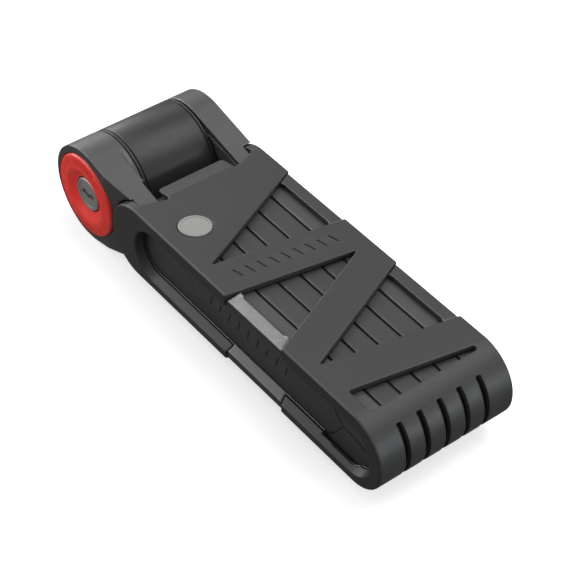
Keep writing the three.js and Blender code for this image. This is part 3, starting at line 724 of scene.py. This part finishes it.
for link in range(1, LINKS):
    x = TAIL_PIVOT_X if link % 2 else NEAR_PIVOT_X
    y0 = link_faces(link)[0] + 0.2 + (POCKET_DEPTH if link == 1 else 0)
    y1 = link_faces(link + 1)[1] - 0.2 - (POCKET_DEPTH if link + 1 == LINKS else 0)
    h0, h1 = core_faces(link)[0] - 0.15, core_faces(link + 1)[1] + 0.15
    profile = [
        (0, y0 + 0.15), (2.2, y0 + 0.15), (2.5, y0), (6, y0), (6.6, y0 + 0.5), (6.6, h0), (4.7, h0),
        (4.7, h1), (6.6, h1), (6.6, y1 - 0.5), (6, y1), (2.5, y1), (2.2, y1 - 0.15), (0, y1 - 0.15),
    ]
    finish_piece(lathe(soften(profile, 0.2), x, AXIS_Z, 72), "flush_rivet_%d" % link, "folded_links",
                 MATERIAL["bright"], ["fold_rivet_%d_%d" % (link, link + 1)], 35)

# ---------------------------------------------------------------- lock head


def turned_piece(name, profile, body, material, node, r=0.3, n=160):
    """A turned piece on the head's axis, from (radius, y) points."""
    obj = lathe(soften(profile, r), HEAD_X, AXIS_Z, n)
    finish_piece(obj, name, body, MATERIAL[material], [node], 35)


turned_piece("barrel_sleeve", [
    (HEAD_R, -12.95), (HEAD_R, 17.25), (17.3, 17.25), (17.3, -11.2), (11.7, -11.2), (11.7, -12.95),
], "lock_head", "barrel", "barrel_housing", 0.5)
turned_piece("thrust_washer", [
    (HEAD_R, -14.3), (HEAD_R, -13.2), (11.7, -13.2), (11.7, -14.3),
], "lock_head", "barrel", "thrust_ring", 0.3)
turned_piece("flange_washer", [
    (HEAD_R, 17.5), (HEAD_R, 18.4), (12, 18.4), (12, 18.8), (8.3, 18.8), (8.3, 17.5),
], "folded_links", "barrel", "stud_flange", 0.25)
turned_piece("stud", [
    (0, 1.2), (5.5, 1.2), (6.5, 2.2), (6.5, 5.8), (4.4, 5.8), (4.4, 11), (6.5, 11), (6.5, 17.3),
    (8, 17.3), (8, 27.6), (9.5, 27.6), (9.5, 29.2), (9.1, 29.5), (5, 29.5), (4.6, 29.2), (0, 29.2),
], "folded_links", "steel", "locking_stud", 0.2, 96)
turned_piece("cylinder_sleeve", [
    (11.5, -28.1), (11.5, -11.05), (10.4, -11.05), (10.4, -9.95), (11.5, -9.95), (11.5, -5.9),
    (7.35, -5.9), (7.35, -28.1),
], "lock_head", "brass", "cylinder_housing", 0.2, 96)


def bezel():
    """The red dished ring, with fine radial ticks on its outer zone."""
    profile = [(7.6, -28.7), (8.1, -28.75), (8.8, -29.1), (10.9, -30.4), (11.6, -30.75), (12.2, -30.85),
               (13.2, -30.78), (16.9, -30.45), (17.6, -29.75), (17.6, -28.35), (7.6, -28.35)]
    obj = lathe(soften(profile, 0.25), HEAD_X, AXIS_Z, 180)
    ticks = []
    for i in range(72):
        if i % 12 == 0:
            continue
        a = 2 * PI * i / 72
        c, s = math.cos(a), math.sin(a)
        corners = []
        for r, w in ((13.5, -0.16), (13.5, 0.16), (16.3, 0.2), (16.3, -0.2)):
            corners.append((HEAD_X + r * c - w * s, AXIS_Z + r * s + w * c))
        ticks.append(prism(corners, "Y", -31, -30.35))
    first = ticks[0]
    bm = bmesh.new()
    for t in ticks:
        bm.from_mesh(t.data)
    bm.to_mesh(first.data)
    bm.free()
    for t in ticks[1:]:
        bpy.data.objects.remove(t)
    return cut(obj, first)


red_bezel = finish_piece(bezel(), "red_bezel", "lock_head", MATERIAL["bezel"], ["bezel_ring"],
                         30)
red_bezel.visible_diffuse = False


def plug():
    """The key plug, with its keyhole, its sidebar slot and the room for the discs."""
    profile = [(0, -29.2), (6.7, -29.2), (7.1, -28.8), (7.1, -8), (0, -8)]
    obj = lathe(soften(profile, 0.15), HEAD_X, AXIS_Z, 96)
    keyhole = [(-1.1, -4.0), (1.1, -4.0), (1.1, -1.4), (2.0, -0.2), (0.9, 1.3), (1.1, 4.0),
               (-1.1, 4.0), (-1.1, 1.5), (-0.2, 0), (-1.2, -1.3)]
    sidebar_slot = box(HEAD_X - 0.95, HEAD_X + 0.95, -26.2, -9.7, AXIS_Z + 4, AXIS_Z + 8)
    cut(obj, sidebar_slot, disc(HEAD_X, AXIS_Z, 5.6, -26.4, -9.5))
    return cut(obj, prism([(HEAD_X + v, AXIS_Z - u) for u, v in keyhole], "Y", -30, -25),
               lathe([(0, -31), (6.1, -31), (5.7, -28.9), (0, -28.9)], HEAD_X, AXIS_Z, 96))


finish_piece(plug(), "plug_face", "key_plug", MATERIAL["plug"], ["key_plug"], 30)

SPRING_LOW = AXIS_Z + 9
SPRING_HIGH = AXIS_Z + 14.8
WIRE_R = 0.35


def bolt_spring():
    """The coil over the locking bolt."""
    turns, steps, sides, radius = 4, 96, 10, 2.6
    bm = bmesh.new()
    rings = []
    for i in range(steps + 1):
        t = i / steps
        a = 2 * PI * turns * t
        out = Vector((math.cos(a), math.sin(a), 0))
        centre = Vector((HEAD_X, 2.5, SPRING_LOW + (SPRING_HIGH - SPRING_LOW) * t)) + out * radius
        ring = []
        for j in range(sides):
            b = 2 * PI * j / sides
            around = out * math.cos(b) + Vector((0, 0, math.sin(b)))
            ring.append(bm.verts.new(centre + around * WIRE_R))
        rings.append(ring)
    for low_ring, high_ring in zip(rings, rings[1:]):
        for j in range(sides):
            k = (j + 1) % sides
            bm.faces.new((low_ring[j], low_ring[k], high_ring[k], high_ring[j]))
    bm.faces.new(rings[0])
    bm.faces.new(rings[-1][::-1])
    bmesh.ops.recalc_face_normals(bm, faces=bm.faces)
    mesh = bpy.data.meshes.new("coil")
    bm.to_mesh(mesh)
    bm.free()
    obj = bpy.data.objects.new("coil", mesh)
    bpy.context.scene.collection.objects.link(obj)
    return obj


# The bolt pushes the coil up against its seat; here the coil is drawn at one length, on a mesh of its
# own.
coil = finish_piece(bolt_spring(), "coil_spring", "lock_head", MATERIAL["bright"], ["bolt_spring"],
                    60)
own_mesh(coil)

CARRIED = {
    "steel": ["lock_body", "locking_bolt"] + ["link_%d_core" % i for i in range(1, LINKS + 1)],
    "bright": ["sidebar", "driver_cam", "retaining_ring"],
    "brass": ["fold_washer_%d_%d" % (i, i + 1) for i in range(1, LINKS)]
    + ["detainer_disc_%d" % i for i in range(1, 9)],
}
for key, names in CARRIED.items():
    for node_name in names:
        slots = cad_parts[node_name].data.materials
        slots.clear()
        slots.append(MATERIAL[key])

# ---------------------------------------------------------------- studio


def floor():
    bm = bmesh.new()
    bmesh.ops.create_grid(bm, x_segments=1, y_segments=1, size=6)
    mesh = bpy.data.meshes.new("floor")
    bm.to_mesh(mesh)
    bm.free()
    obj = bpy.data.objects.new("floor", mesh)
    obj.location.z = -0.00015
    bpy.context.scene.collection.objects.link(obj)
    mat, tree, bsdf = shader("floor_paper", (0.6, 0.6, 0.6), 0.9, Specular_IOR_Level=0.1)
    paper = ramp(tree, noise(tree, 8, 2), [(0.3, (0.595, 0.595, 0.595)), (0.7, (0.605, 0.605, 0.605))])
    tree.links.new(paper, bsdf.inputs["Base Color"])
    bsdf.inputs["Emission Color"].default_value = (1, 1, 1, 1)
    bsdf.inputs["Emission Strength"].default_value = 0.62
    obj.data.materials.append(mat)
    obj.visible_glossy = False
    obj.visible_diffuse = False


def sky():
    """The room's light: dark grey below, brighter overhead."""
    world = bpy.data.worlds.new("studio")
    bpy.context.scene.world = world
    world.use_nodes = True
    tree = world.node_tree
    background = next(n for n in tree.nodes if n.type == "BACKGROUND")
    coords = tree.nodes.new("ShaderNodeTexCoord")
    split = tree.nodes.new("ShaderNodeSeparateXYZ")
    tree.links.new(coords.outputs["Generated"], split.inputs["Vector"])
    height = remap(tree, split.outputs["Z"], -1, 1, 0, 1)
    greys = [(0.0, 0.17), (0.5, 0.18), (0.62, 0.35), (0.8, 0.6), (1.0, 0.85)]
    shades = ramp(tree, height, [(at, [grey] * 3) for at, grey in greys])
    tree.links.new(shades, background.inputs["Color"])


def area(name, at, target, size, power, colour=(1, 1, 1), diffuse=True, glossy=True):
    """A softbox; without diffuse it only shows in reflections, and without glossy never in them."""
    light = bpy.data.lights.new(name, "AREA")
    light.shape = "RECTANGLE"
    light.size, light.size_y = size
    light.energy = power
    light.color = colour
    obj = bpy.data.objects.new(name, light)
    obj.location = at
    obj.rotation_mode = "QUATERNION"
    obj.rotation_quaternion = (Vector(target) - Vector(at)).to_track_quat("-Z", "Y")
    obj.visible_diffuse = diffuse
    obj.visible_glossy = glossy
    bpy.context.scene.collection.objects.link(obj)


# The photo's view, found by fitting a camera to the case's edges; places are in metres.
CAMERA_AT = (0.39340, -0.30201, 0.48859)
CAMERA_TOWARDS = (-0.56707, 0.44745, -0.69153)
CAMERA_LENS = 114.96
CAMERA_RISE = 0.0091            # how much the view's right-hand direction climbs


def camera():
    data = bpy.data.cameras.new("camera")
    data.lens, data.sensor_width = CAMERA_LENS, 36
    data.clip_start, data.clip_end = 0.05, 20
    obj = bpy.data.objects.new("camera", data)
    forward = Vector(CAMERA_TOWARDS).normalized()
    right = forward.cross(Vector((0, 0, 1))).normalized()
    up = right.cross(forward)
    roll = math.asin(CAMERA_RISE / up.z)
    c, s = math.cos(roll), math.sin(roll)
    right, up = right * c + up * s, up * c - right * s
    turned = Matrix((
        (right.x, up.x, -forward.x), (right.y, up.y, -forward.y), (right.z, up.z, -forward.z)))
    obj.matrix_world = Matrix.Translation(CAMERA_AT) @ turned.to_4x4()
    bpy.context.scene.collection.objects.link(obj)
    bpy.context.scene.camera = obj


def studio():
    floor()
    sky()
    area("overhead_softbox", (0.08, 0.42, 0.95), (0, 0, 0.02), (0.75, 0.75), 6.5)
    area("rail_softbox", (-0.68, -0.14, 0.96), (0, -0.02, 0.03), (0.36, 0.36), 5.6, diffuse=False)
    area("edge_softbox", (-0.63, -0.66, 0.58), (0, -0.02, 0.03), (0.9, 0.36), 4.0, diffuse=False)
    area("left_softbox", (-1.0, -0.1, 0.25), (-0.05, 0, 0.02), (0.9, 0.4), 8, diffuse=False)
    area("lip_softbox", (-0.86, 0.48, 0.44), (-0.05, 0, 0.03), (0.4, 0.3), 0.6, diffuse=False)
    area("bezel_fill", (-0.15, -0.15, 0.06), (HEAD_X * MM, -0.03, 0.018), (0.08, 0.08), 0.07,
         glossy=False)
    area("tail_softbox", (0.88, 0.44, 0.2), (0.05, 0, 0.02), (0.5, 0.4), 4.2, (0.9, 0.95, 1.0))


camera()
studio()
bpy.context.scene.view_settings.view_transform = "Standard"
